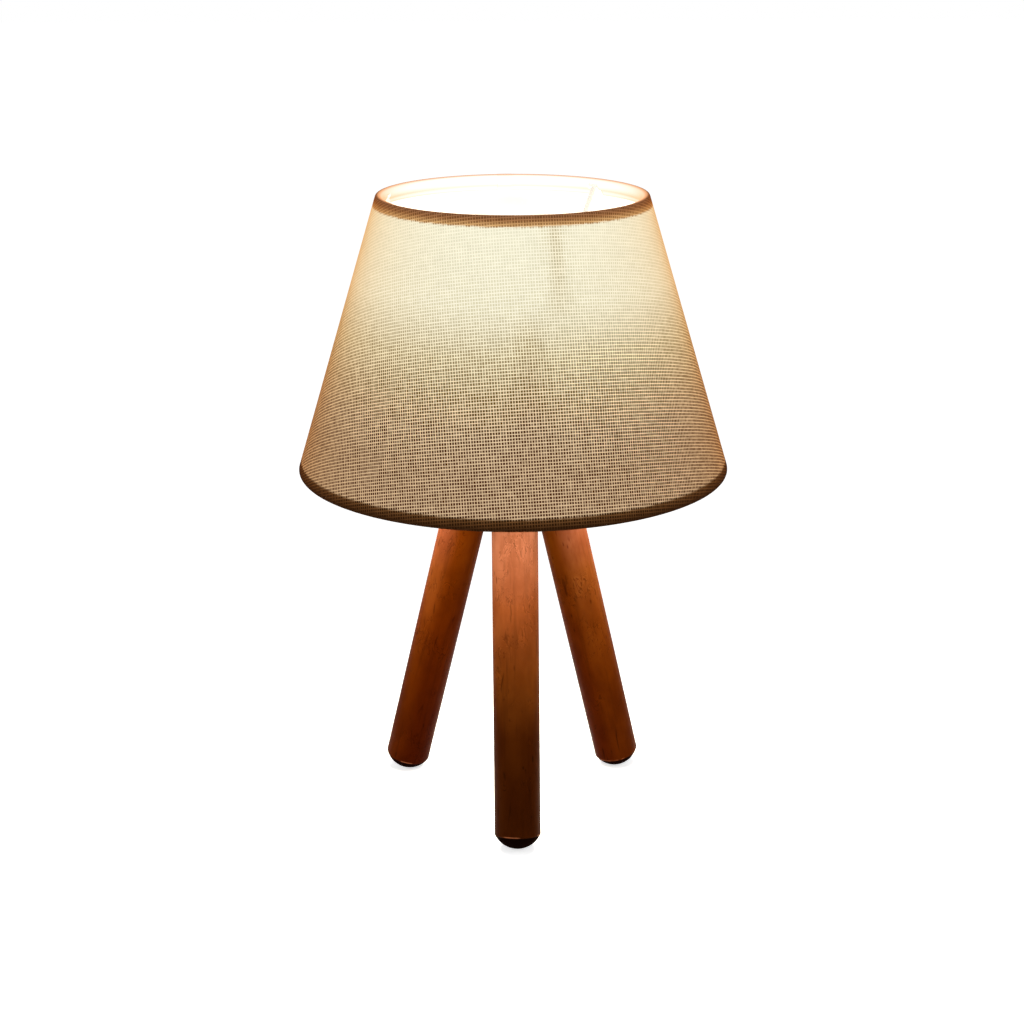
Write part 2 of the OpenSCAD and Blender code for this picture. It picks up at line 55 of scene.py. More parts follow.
def set_camera():
    data = bpy.data.cameras.new("camera")
    data.lens = LENS
    data.sensor_width = SENSOR
    camera = bpy.data.objects.new("camera", data)
    scene.collection.objects.link(camera)
    camera.matrix_world = (
        Matrix.Translation(CAMERA_AT)
        @ Matrix.Rotation(math.radians(-YAW), 4, "Z")
        @ Matrix.Rotation(math.radians(90 - PITCH), 4, "X")
        @ Matrix.Rotation(math.radians(ROLL), 4, "Z")
    )
    scene.camera = camera


set_camera()

# ---------------------------------------------------------------- node trees and materials
MIX_SHARE, MIX_A, MIX_B, MIX_COLOUR = 0, 6, 7, 2  # the colour sockets of a Mix node
NOISE_RANGE = (0.3, 0.7)  # where most values of a noise lie


class Nodes:
    """A node tree with short calls. A value is a number, a colour, a vector or a node's output."""

    def __init__(self, tree):
        self.tree = tree

    def put(self, socket, value):
        if isinstance(value, bpy.types.NodeSocket):
            self.tree.links.new(value, socket)
        elif socket.type == "RGBA":
            socket.default_value = (*value, 1)
        else:
            socket.default_value = value

    def add(self, kind, *inputs, **settings):
        node = self.tree.nodes.new(kind)
        for key, value in settings.items():
            setattr(node, key, value)
        for socket, value in zip(node.inputs, inputs):
            self.put(socket, value)
        return node

    def math(self, operation, *values):
        return self.add("ShaderNodeMath", *values, operation=operation).outputs[0]

    def plus(self, a, b):
        return self.math("ADD", a, b)

    def minus(self, a, b):
        return self.math("SUBTRACT", a, b)

    def times(self, a, b):
        return self.math("MULTIPLY", a, b)

    def over(self, a, b):
        return self.math("DIVIDE", a, b)

    def most(self, a, b):
        return self.math("MAXIMUM", a, b)

    def step(self, value, low, high, to_low=0.0, to_high=1.0, smooth=True):
        """Carries low..high over to to_low..to_high, and holds the ends beyond that."""
        kind = "SMOOTHSTEP" if smooth else "LINEAR"
        values = (value, low, high, to_low, to_high)
        return self.add("ShaderNodeMapRange", *values, interpolation_type=kind).outputs[0]

    def fade(self, value, full, none):
        """1 up to full, falling to 0 at none."""
        return self.step(value, full, none, 1.0, 0.0)

    def near(self, value, middle, full, none):
        """1 where value is within full of middle, 0 where it is further off than none."""
        return self.fade(self.math("ABSOLUTE", self.minus(value, middle)), full, none)

    def seen(self):
        """1 for what the camera, mirrors and glass see, 0 for the light that is given off."""
        path = self.add("ShaderNodeLightPath").outputs
        mirrored = self.most(path["Is Camera Ray"], path["Is Glossy Ray"])
        return self.most(mirrored, path["Is Transmission Ray"])


class Paint(Nodes):
    """A material, whose patterns lie in the object's frame, in metres."""

    def __init__(self, name):
        self.material = bpy.data.materials.new(name)
        self.material.use_nodes = True
        super().__init__(self.material.node_tree)
        self.shader = self.tree.nodes["Principled BSDF"]
        self.output = self.tree.nodes["Material Output"]
        self.where = self.add("ShaderNodeTexCoord").outputs["Object"]

    def split(self, vector):
        return self.add("ShaderNodeSeparateXYZ", vector).outputs

    def join(self, x, y, z):
        return self.add("ShaderNodeCombineXYZ", x, y, z).outputs[0]

    def attribute(self, name):
        return self.split(self.add("ShaderNodeAttribute", attribute_name=name).outputs["Vector"])

    def mapped(self, vector, shift=(0, 0, 0), turn=(0, 0, 0)):
        return self.add("ShaderNodeMapping", vector, shift, turn).outputs[0]

    def mix(self, share, a, b, blend="MIX"):
        node = self.add("ShaderNodeMix", data_type="RGBA", blend_type=blend)
        for key, value in ((MIX_SHARE, share), (MIX_A, a), (MIX_B, b)):
            self.put(node.inputs[key], value)
        return node.outputs[MIX_COLOUR]

    def tint(self, colour, by):
        return self.mix(1.0, colour, by, "MULTIPLY")

    def ramp(self, value, stops):
        node = self.add("ShaderNodeValToRGB", value)
        elements = node.color_ramp.elements
        while len(elements) < len(stops):
            elements.new(0.5)
        for element, (at, _) in zip(elements, stops):
            element.position = at
        for element, (_, colour) in zip(elements, stops):
            element.color = (*colour, 1)
        return node.outputs[0]

    def noise(self, vector, scale, detail, rough=0.5, distort=0.0):
        node = self.add("ShaderNodeTexNoise")
        self.put(node.inputs["Vector"], vector)
        self.put(node.inputs["Scale"], scale)
        self.put(node.inputs["Detail"], detail)
        self.put(node.inputs["Roughness"], rough)
        self.put(node.inputs["Distortion"], distort)
        return node.outputs["Fac"]

    def spread(self, noise, low=0.0, high=1.0):
        """A noise stretched to low..high."""
        return self.step(noise, *NOISE_RANGE, low, high)

    def wear(self, scale, low, high):
        """Small uneven patches, for roughness."""
        return self.spread(self.noise(self.where, scale, 4, 0.6), low, high)

    def speck(self, vector, scale):
        """The distance to the nearest of many scattered points."""
        node = self.add("ShaderNodeTexVoronoi")
        self.put(node.inputs["Vector"], vector)
        self.put(node.inputs["Scale"], scale)
        return node.outputs["Distance"]

    def bump(self, height, depth, strength):
        node = self.add("ShaderNodeBump")
        self.put(node.inputs["Strength"], strength)
        self.put(node.inputs["Distance"], depth)
        self.put(node.inputs["Height"], height)
        return node.outputs[0]

    def set(self, **values):
        for key, value in values.items():
            self.put(self.shader.inputs[key.replace("_", " ")], value)


# ---------------------------------------------------------------- shade cloth: sizes
def wire_radius(node):
    low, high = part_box(node)
    return (high.z - low.z) / 2


WIRE_R = wire_radius("shade_bottom_ring")


def wire_middle(node):
    """The middle of a ring's wire, as (r, z)."""
    low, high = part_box(node)
    return Vector(((high.x - low.x) / 2 - WIRE_R, (high.z + low.z) / 2))


BOTTOM = wire_middle("shade_bottom_ring")
TOP = wire_middle("shade_top_ring")
SPAN = (TOP - BOTTOM).length
ALONG = (TOP - BOTTOM).normalized()  # up the wall
OUT = Vector((ALONG.y, -ALONG.x))  # square to the wall
LEAN_SIN = -ALONG.x

CLOTH_T = 0.8 * MM
WALL_N = 2.6 * MM  # the wall, outside the line between the two wires
WALL_START = 1.5 * MM  # where it begins, above the wire's middle
WALL_ROWS = 26
CORNER_R = 1.0 * MM  # bend between the wall and the roll
ROLL_GAP = 0.1 * MM
ROLL_N = WIRE_R + ROLL_GAP + CLOTH_T / 2  # radius of the roll round a wire
ARC_STEPS = 4
FLAP = 6.5 * MM  # length of the turned-in flap
FLAP_N = 1.1 * MM
FLAP_POINTS = (  # up the wall and outside the wires, from the flap's end to its wire
    (FLAP, FLAP_N),
    (FLAP - 1.5 * MM, FLAP_N - 0.05 * MM),
    (FLAP - 3.5 * MM, 0.2 * MM),
    (2.0 * MM, -1.35 * MM),
)
COLUMNS = 420
SEAM_TURN = 10 * MM / BOTTOM.x  # the glued overlap at the back, in radians
SEAM_LIFT = 0.6 * MM
LEAST_LIFT = 0.25  # share of the seam's lift that is left at the edges
LIFT_REACH = 6 * MM  # the way from an edge that adds the whole of it again
ARMS = [math.radians(17.5 + 120 * k) for k in range(3)]
ARM_HALF = 2.6 * MM  # half the notch in the upper flap for an arm
NOTCH_ROWS = 5
WARP, WEFT = 1.29 * MM, 1.56 * MM  # from thread to thread
GRAIN_TURN = math.radians(3.2)  # of the threads on the flat piece


# ---------------------------------------------------------------- shade cloth: shape
def wall_point(s, n):
    """The point (r, z) that is s up the wall from the lower wire's middle, and n outside it."""
    return BOTTOM + ALONG * s + OUT * n


def arc(centre, radius, up, start, end):
    """Points (r, z) round centre, between two angles in degrees from OUT towards up."""
    points = []
    for k in range(ARC_STEPS + 1):
        turn = math.radians(start + (end - start) * k / ARC_STEPS)
        points.append(centre + OUT * (radius * math.cos(turn)) + up * (radius * math.sin(turn)))
    return points


def hem(wire, start, side):
    """The cloth's middle line at one edge, as (r, z), from the flap's end round the wire to the wall.
    start is the wire's place along the wall, and side is 1 for the lower edge and -1 for the upper."""
    up = ALONG * side
    corner = OUT * (WALL_N - CORNER_R) + up * (CORNER_R - ROLL_N)
    points = [wall_point(start + side * s, n) for s, n in FLAP_POINTS]
    points += arc(wire, ROLL_N, up, -180, -90)
    points += arc(wire + corner, CORNER_R, up, -90, 0)
    points.append(wall_point(start + side * WALL_START, WALL_N))
    return points


def profile():
    """The cloth's middle line as (r, z), from the lower flap's end to the upper one's."""
    wall = [wall_point(SPAN * k / WALL_ROWS, WALL_N) for k in range(1, WALL_ROWS)]
    return hem(BOTTOM, 0, 1) + wall + hem(TOP, SPAN, -1)[::-1]


def lengths(points):
    """The way along the line to each of its points."""
    run = [0.0]
    for a, b in zip(points, points[1:]):
        run.append(run[-1] + (b - a).length)
    return run


POINTS = profile()
RUN = lengths(POINTS)
LOW_EDGE = len(FLAP_POINTS) + ARC_STEPS + 1  # indices of the points at the shade's two edges
HIGH_EDGE = len(POINTS) - 1 - LOW_EDGE
WALL_FOOT = LOW_EDGE + ARC_STEPS
WALL = RUN[HIGH_EDGE] - RUN[LOW_EDGE]
APEX = POINTS[WALL_FOOT].x / LEAN_SIN + RUN[WALL_FOOT]  # from the flap's end to the cone's tip


def azimuth_at(column):
    return -math.pi + (TAU + SEAM_TURN) * column / COLUMNS


def seam_lift(azimuth):
    """How far the cloth stands off where its end lies over its start."""
    beyond = (azimuth - math.pi + 0.5 * SEAM_TURN) / (0.5 * SEAM_TURN)
    share = min(max(beyond, 0), 1)
    return SEAM_LIFT * share * share * (3 - 2 * share)


def cloth_point(azimuth, k):
    """The place of the profile's point k, turned round the shade's axis."""
    to_edge = min(abs(RUN[k] - RUN[LOW_EDGE]), abs(RUN[HIGH_EDGE] - RUN[k]))
    lift = seam_lift(azimuth) * min(LEAST_LIFT + to_edge / LIFT_REACH, 1)
    turned_in = k < LOW_EDGE or k > HIGH_EDGE
    lift = -lift if turned_in else lift
    radius = POINTS[k].x + lift * OUT.x
    height = POINTS[k].y + lift * OUT.y
    return radius * math.sin(azimuth), -radius * math.cos(azimuth), height


def plan_point(azimuth, k):
    """The same point on the flat piece, measured along its threads."""
    slant = APEX - RUN[k]
    flat = azimuth * LEAN_SIN
    x, y = slant * math.sin(flat), APEX - slant * math.cos(flat)
    cosine, sine = math.cos(GRAIN_TURN), math.sin(GRAIN_TURN)
    return x * cosine + y * sine, y * cosine - x * sine, 0


def notched(column, k):
    """True for the faces of the upper flap that leave room for an arm."""
    azimuth = azimuth_at(column + 0.5)
    to_arm = min(abs((azimuth - arm + math.pi) % TAU - math.pi) for arm in ARMS)
    return k >= len(POINTS) - 1 - NOTCH_ROWS and to_arm * TOP.x < ARM_HALF


def make_cloth():
    """The cloth's middle surface, with two attributes: plan, the point on the flat piece, and place,
    the azimuth and the ways along the cloth from the lower and the upper edge."""
    verts, plan, place, faces = [], [], [], []
    width = len(POINTS)
    for column in range(COLUMNS + 1):
        azimuth = azimuth_at(column)
        for k in range(width):
            verts.append(cloth_point(azimuth, k))
            plan.append(plan_point(azimuth, k))
            place.append((azimuth, RUN[k] - RUN[LOW_EDGE], RUN[HIGH_EDGE] - RUN[k]))
    for column in range(COLUMNS):
        for k in range(width - 1):
            if not notched(column, k):
                a = column * width + k
                faces.append((a, a + width, a + width + 1, a + 1))
    mesh = bpy.data.meshes.new("cloth_sheet")
    mesh.from_pydata(verts, [], faces)
    for name, values in (("plan", plan), ("place", place)):
        attribute = mesh.attributes.new(name, "FLOAT_VECTOR", "POINT")
        attribute.data.foreach_set("vector", [number for value in values for number in value])
    for polygon in mesh.polygons:
        polygon.use_smooth = True
    mesh.update()
    sheet = bpy.data.objects.new("cloth_sheet", mesh)
    scene.collection.objects.link(sheet)
    solid = sheet.modifiers.new("thickness", "SOLIDIFY")
    solid.thickness = CLOTH_T
    solid.offset = 0
    return sheet


# ---------------------------------------------------------------- shade cloth: finish
DRIFT = 0.30  # how far a thread wanders off its line, in threads
DRIFT_ACROSS = 0.9  # how much that differs between neighbours
WARP_DRIFT, WEFT_DRIFT = 0.10, 0.08  # how quickly it changes along a thread
SLUB_WARP, SLUB_WEFT = (5.3, 0.22), (4.7, 0.20)  # the same two, for how thick a thread is
SLUB_RANGE = (0.25, 0.75)
FIBRE_RATE = 3.0
PATCH_RATES = (0.12, 0.35)
OPENING_HALF = (0.412, 0.318)  # half an opening between thin and between thick threads
OPENING_SOFT = 0.07
LEAST_OPEN = 0.80  # of the fuzziest openings
HEM_TOP, HEM_BOTTOM = 6.1 * MM, 6.2 * MM
HEM_RAGGED = 0.4 * MM
LOW_HEM_END = (HEM_BOTTOM - 1.4 * MM, HEM_BOTTOM + 0.2 * MM)
TOP_HEM_END = (HEM_TOP - 1.2 * MM, HEM_TOP + 0.1 * MM)
LOW_EDGE_SHADE_ZONE = (1.2 * MM, 3.0 * MM)
LOW_FLAP_ZONE = (-5.0 * MM, -2.8 * MM)
TOP_FLAP_ZONE = (-0.3 * MM, 0.9 * MM)
TOP_RIM_ZONE = (-1.9 * MM, -0.1 * MM)
UPPER_HEM_ENDS = (1.2, 1.5)  # in heights of it
SEAM_SOFT = 0.004
LEAST_LIGHT, FIBRE_LIGHT, PATCH_LIGHT = 0.86, 0.14, 0.16  # of a fleck of the yarn
# the two soft shadows of an arm: degrees round from it, width in degrees, the heights on the wall that
# its depth changes between, the depths there, and whether it changes smoothly
SHADOWS = (
    (3.0, 5.5, (0.65, 0.98), (0.0, 0.345), False),
    (14.0, 4.5, (0.60, 0.72), (0.045, 0.0), True),
)
THREAD_LIGHT = (  # colour of the light through a thread, by how much lamplight falls on it
    (0.00, (0.520, 0.435, 0.306)),
    (0.18, (0.530, 0.450, 0.320)),
    (0.36, (0.670, 0.612, 0.455)),
    (0.54, (0.752, 0.795, 0.645)),
    (0.71, (0.765, 0.857, 0.806)),
    (1.00, (0.760, 0.857, 0.791)),
)
OPENING_LIGHT = (  # and in the openings between the threads
    (0.00, (0.044, 0.008, 0.000)),
    (0.30, (0.050, 0.013, 0.000)),
    (0.42, (0.110, 0.064, 0.008)),
    (0.54, (0.266, 0.222, 0.120)),
    (0.71, (0.590, 0.622, 0.490)),
    (1.00, (0.705, 0.772, 0.676)),
)
UPPER_THREAD = (  # the same for the hems, from the shade's edge towards the wall
    (0.10, (0.190, 0.105, 0.064)),
    (0.45, (0.300, 0.155, 0.072)),
    (0.90, (0.620, 0.430, 0.210)),
)
UPPER_OPENING = (
    (0.10, (0.110, 0.052, 0.026)),
    (0.45, (0.135, 0.062, 0.020)),
    (0.90, (0.300, 0.180, 0.075)),
)
LOWER_THREAD = (
    (0.10, (0.020, 0.010, 0.004)),
    (0.50, (0.036, 0.015, 0.004)),
    (0.90, (0.098, 0.052, 0.019)),
)
LOWER_OPENING = (0.006, 0.002, 0.000)
SEAM_TINT = (0.62, 0.50, 0.38)
TOP_FLAP_LIGHT, TOP_RIM_LIGHT = (1.00, 1.12, 1.30), (0.78, 0.62, 0.52)
LOW_FLAP_LIGHT = (0.58, 0.43, 0.27)
YARN_DARK, YARN_PALE = (0.16, 0.085, 0.040), (0.27, 0.160, 0.085)
# painted shade: the openings between the threads are near black
OPENING_SHADE_COLOUR = (0.008, 0.003, 0.001)
# painted shade at the hems, where the wire and the turned-in cloth hold back the lamplight
UPPER_HEM_SHADE, LOWER_HEM_SHADE = (0.130, 0.065, 0.030), (0.135, 0.066, 0.026)
HEM_EDGE_SHADE, HEM_OPENING_SHADE = (0.030, 0.013, 0.005), (0.030, 0.011, 0.003)


class Weave:
    """The weave, where u and v count the threads: thread is 1 on a thread, gap is 1 in an opening, chance
    is a random number for each opening, fibre and patch are fine and broad noise, beat is the weave's
    up and down."""

    def __init__(self, p):
        plan = p.attribute("plan")
        u, v = p.over(plan[0], WARP), p.over(plan[1], WEFT)
        drift_u = self.cloud(p, p.times(u, DRIFT_ACROSS), p.times(v, WARP_DRIFT), 3.0)
        drift_v = self.cloud(p, p.times(u, WEFT_DRIFT), p.times(v, DRIFT_ACROSS), 9.0)
        u = p.plus(u, p.times(p.minus(drift_u, 0.5), DRIFT))
        v = p.plus(v, p.times(p.minus(drift_v, 0.5), DRIFT))
        across, along = SLUB_WARP
        slub_u = self.cloud(p, p.times(p.math("ROUND", u), across), p.times(v, along), 1.0)
        across, along = SLUB_WEFT
        slub_v = self.cloud(p, p.times(u, along), p.times(p.math("ROUND", v), across), 6.0)
        cell_u, cell_v = p.math("FLOOR", u), p.math("FLOOR", v)
        cell = p.add("ShaderNodeTexWhiteNoise", noise_dimensions="2D")
        p.put(cell.inputs["Vector"], p.join(cell_u, cell_v, 0))
        self.chance = cell.outputs["Value"]
        gap = p.times(self.opening(p, u, slub_u), self.opening(p, v, slub_v))
        self.gap = p.times(gap, p.step(self.chance, 0.0, 0.5, LEAST_OPEN, 1.0, smooth=False))
        self.thread = p.minus(1.0, self.gap)
        self.fibre = self.cloud(p, p.times(u, FIBRE_RATE), p.times(v, FIBRE_RATE), 0.0, 3, 0.6)
        across, along = PATCH_RATES
        self.patch = self.cloud(p, p.times(u, across), p.times(v, along), 4.0, 3, 0.6)
        # threads pass over and under each other in turn
        self.beat = p.math("PINGPONG", p.plus(cell_u, cell_v), 1.0)

    @staticmethod
    def cloud(p, u, v, apart, detail=2, rough=0.5):
        """Noise over the cloth; apart sets it off from the others."""
        return p.noise(p.join(u, v, apart), 1.0, detail, rough)

    @staticmethod
    def opening(p, t, slub):
        """1 in the middle of the space between two threads, 0 on them."""
        half = p.step(slub, *SLUB_RANGE, *OPENING_HALF, smooth=False)
        full, none = p.minus(half, OPENING_SOFT), p.plus(half, OPENING_SOFT)
        return p.near(p.math("FRACT", t), 0.5, full, none)


def lamplight(p, azimuth, height):
    """How much lamplight falls on the cloth: more higher up, less in the soft shadows of the arms."""
    shade = 0.0
    for turn, width, heights, depths, smooth in SHADOWS:
        depth = p.step(height, *heights, *depths, smooth=smooth)
        for arm in ARMS:
            away = p.minus(azimuth, arm - math.radians(turn))
            away = p.over(p.math("WRAP", away, math.pi, -math.pi), math.radians(width))
            bell = p.math("EXPONENT", p.times(p.times(away, away), -1.0))
            shade = p.plus(shade, p.times(bell, depth))
    return p.minus(height, shade)


def cloth_glow(p, weave, place, single):
    """The light that comes through the cloth. single is 1 where there is one layer of it."""
    azimuth, from_low, from_high = place
    light = lamplight(p, azimuth, p.over(from_low, WALL))
    glow = p.mix(weave.thread, p.ramp(light, OPENING_LIGHT), p.ramp(light, THREAD_LIGHT))
    fleck = p.plus(p.times(weave.fibre, FIBRE_LIGHT), p.times(weave.patch, PATCH_LIGHT))
    glow = p.tint(glow, p.plus(fleck, LEAST_LIGHT))
    # the hems are double and glow little, the upper one more, and both more towards the wall
    inward = p.over(from_high, HEM_TOP)
    upper = p.mix(weave.thread, p.ramp(inward, UPPER_OPENING), p.ramp(inward, UPPER_THREAD))
    lower = p.mix(weave.thread, LOWER_OPENING, p.ramp(p.over(from_low, HEM_BOTTOM), LOWER_THREAD))
    glow = p.mix(single, p.mix(p.step(inward, *UPPER_HEM_ENDS), upper, lower), glow)
    # the glued seam is double too
    seam = p.step(azimuth, math.pi, math.pi + SEAM_SOFT)
    glow = p.mix(p.times(seam, single), glow, p.tint(glow, SEAM_TINT))
    # the turned-in flaps face the lamp
    flap = p.mix(p.step(from_high, *TOP_RIM_ZONE), TOP_FLAP_LIGHT, TOP_RIM_LIGHT)
    glow = p.mix(p.fade(from_high, *TOP_FLAP_ZONE), glow, flap)
    return p.mix(p.fade(from_low, *LOW_FLAP_ZONE), glow, LOW_FLAP_LIGHT)


def cloth_colour(p, weave, place, single):
    """The cloth's yarn, with painted shade in its openings and at the hems, darkest at the lower edge."""
    _, from_low, from_high = place
    wall = p.mix(weave.thread, OPENING_SHADE_COLOUR, p.mix(weave.fibre, YARN_DARK, YARN_PALE))
    # painted shade at the hems, darkest along the lower edge
    edge = p.mix(p.step(from_high, HEM_TOP, HEM_TOP * 2), UPPER_HEM_SHADE, LOWER_HEM_SHADE)
    edge = p.mix(p.step(from_low, *LOW_EDGE_SHADE_ZONE), HEM_EDGE_SHADE, edge)
    return p.mix(single, p.mix(weave.thread, HEM_OPENING_SHADE, edge), wall)


def cloth_paint():
    """An open plain weave with the lamp behind it."""
    p = Paint("shade_cloth_weave")
    weave = Weave(p)
    place = p.attribute("place")
    ragged = p.plus(p.times(weave.chance, HEM_RAGGED), p.times(weave.gap, HEM_RAGGED))
    above_low = p.step(p.minus(place[1], ragged), *LOW_HEM_END)
    below_high = p.step(p.minus(place[2], ragged), *TOP_HEM_END)
    single = p.times(above_low, below_high)
    relief = p.times(weave.thread, p.plus(p.times(weave.beat, 0.6), 0.8))
    relief = p.plus(relief, p.times(weave.fibre, 0.35))
    p.set(
        Base_Color=cloth_colour(p, weave, place, single),
        Roughness=0.85,
        Specular_IOR_Level=0.05,
        Coat_Weight=1.0,
        Coat_Roughness=1.0,
        Coat_IOR=1.02,
        Coat_Tint=(0.97, 0.855, 0.74),
        Normal=p.bump(relief, 0.25 * MM, 0.8),
        Emission_Color=cloth_glow(p, weave, place, single),
        Emission_Strength=1.25,
    )
    return p.material


cloth = make_cloth()
cloth.data.materials.append(cloth_paint())
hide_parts("shade_cloth")
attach(cloth, "shade")

# ---------------------------------------------------------------- legs and hub
LEG_TILT = math.radians(14.65)
LEG_FOOT = 69.0 * MM  # from the middle to where a leg's axis meets the table
LEG_R = 11.75 * MM
DOME_H = 7.6 * MM
DOME_R = (LEG_R ** 2 + DOME_H ** 2) / (2 * DOME_H)
LEG_CORNER = DOME_R / math.cos(LEG_TILT) - (DOME_R - DOME_H)  # where the dome meets the side
DOME_EDGE = (LEG_CORNER - 0.6 * MM, LEG_CORNER)
EDGE_HIGHLIGHT_LINE = (LEG_CORNER + 0.2 * MM, 0.10 * MM, 0.42 * MM)  # middle, half width, half width with its fade
CUT_STEP, CUT_SIDE = 0.31, 0.1  # where in the wood a leg is cut, by its azimuth, and to the side
PAINTED_LIGHT_HEIGHT = 0.17  # over the table, for the last stop of the tones
LEG_WOOD = ((0.150, 0.038, 0.0110), (0.215, 0.062, 0.0210))
HUB_WOOD = ((0.10, 0.024, 0.007), (0.20, 0.055, 0.017))
# patterns of the wood: how much z counts against x and y, scale, detail, roughness, distortion
MOTTLE = (0.45, 85, 4, 0.6, 0.0)
STREAK = (0.05, 420, 3, 0.6, 0.0)
SQUIGGLE = (0.40, 150, 3, 0.65, 2.0)
STROKE = (0.16, 240, 2, 0.6, 0.6)
FLECK_DRAWN, FLECK_SCALE = 0.25, 360
# the stretch of each noise over which the pattern comes up
MOTTLE_RANGE = (0.30, 0.72)
STREAK_RANGE = (0.50, 0.72)
STROKE_RANGE = (0.64, 0.72)
FLECK_SIZE = (0.10, 0.24)
SQUIGGLE_ZONE = (60, (0.44, 0.60))  # with the scale of the noise that picks the zones
FLECK_ZONE = (150, (0.50, 0.62))
EDGE_HIGHLIGHT_ZONE = (110, (0.53, 0.62))
LINE_AT, SHINE_AT, LINE_HALF = 0.500, 0.545, 0.024
STREAK_SHARE, SHINE_SHARE, LINE_SHARE, MARK_SHARE = 0.30, 0.35, 0.55, 0.60
STREAK_TONE, SHINE_TONE, MARK_TONE = 0.45, 1.4, 0.22
# painted shade on the sides that the legs turn to each other
INNER_SHADE_TINT = (0.70, 0.52, 0.06)
DOME_SHADE_COLOUR = (0.0035, 0.0008, 0.0003)
EDGE_HIGHLIGHT_COLOUR = (0.45, 0.15, 0.065)
# painted shade: the left rear leg gets less of the painted lamplight than the right one
LEFT_PAINTED_SHADE = (0.92, 0.84, 0.75)
# painted lamplight from the lit shade, by height over the table: strong under the shade, fading
# towards the foot, with a painted sheen at the top
FRONT_PAINTED_LIGHT = (
    (0.00, (0.23, 0.17, 0.03)),
    (0.35, (0.27, 0.20, 0.04)),
    (0.53, (0.58, 0.53, 0.20)),
    (0.72, (0.76, 0.72, 0.56)),
    (1.00, (1.05, 1.50, 2.70)),
)
RIGHT_PAINTED_LIGHT = (
    (0.00, (0.48, 0.28, 0.02)),
    (0.35, (0.62, 0.42, 0.04)),
    (0.53, (0.80, 0.64, 0.17)),
    (0.72, (0.92, 0.90, 0.50)),
    (1.00, (1.40, 1.58, 2.80)),
)
LEFT_PAINTED_LIGHT = [(at, [a * b for a, b in zip(LEFT_PAINTED_SHADE, colour)]) for at, colour in RIGHT_PAINTED_LIGHT]
# each leg's painted lamplight, and the span across it of the painted shade on its inner side
LEGS = {  # azimuth, tones from the foot up, and where across the leg the inner tint begins and ends
    "leg_front": (0.0, FRONT_PAINTED_LIGHT, (-1.0, -0.3)),
    "leg_rear_right": (TAU / 3, RIGHT_PAINTED_LIGHT, (-0.95, -0.4)),
    "leg_rear_left": (-TAU / 3, LEFT_PAINTED_LIGHT, (-0.55, 0.3)),
}


def scaled(colour, share):
    return [share * channel for channel in colour]


def zone(p, spot, scale, span):
    """Soft-edged patches, 1 inside."""
    return p.step(p.noise(spot, scale, 2), *span)


def wood(p, spot, dark, pale):
    """Stained and varnished wood with its grain along z of spot, in metres."""
    x, y, z = p.split(spot)

    def drawn(share):
        """The point with its z shortened, which draws a pattern out along the grain."""
        return p.join(x, y, p.times(z, share))

    def grain(share, scale, detail, rough, distort):
        return p.noise(drawn(share), scale, detail, rough, distort)

    mottle, streak = grain(*MOTTLE), grain(*STREAK)
    squiggle, stroke = grain(*SQUIGGLE), grain(*STROKE)
    squiggled = zone(p, spot, *SQUIGGLE_ZONE)
    line = p.times(p.near(squiggle, LINE_AT, 0.0, LINE_HALF), squiggled)
    # shine: a painted highlight beside each dark line
    shine = p.times(p.near(squiggle, SHINE_AT, 0.0, LINE_HALF), squiggled)
    fleck = p.fade(p.speck(drawn(FLECK_DRAWN), FLECK_SCALE), *FLECK_SIZE)
    fleck = p.times(fleck, zone(p, spot, *FLECK_ZONE))
    stroke = p.step(stroke, *STROKE_RANGE)
    marks = p.most(p.times(line, LINE_SHARE), p.times(p.most(fleck, stroke), MARK_SHARE))
    streaked = p.times(p.step(streak, *STREAK_RANGE), STREAK_SHARE)
    colour = p.mix(p.step(mottle, *MOTTLE_RANGE), dark, pale)
    colour = p.mix(streaked, colour, scaled(dark, STREAK_TONE))
    colour = p.mix(p.times(shine, SHINE_SHARE), colour, scaled(pale, SHINE_TONE))
    colour = p.mix(marks, colour, scaled(dark, MARK_TONE))
    relief = p.minus(p.times(mottle, 0.6), p.times(marks, 0.5))
    return colour, relief, marks


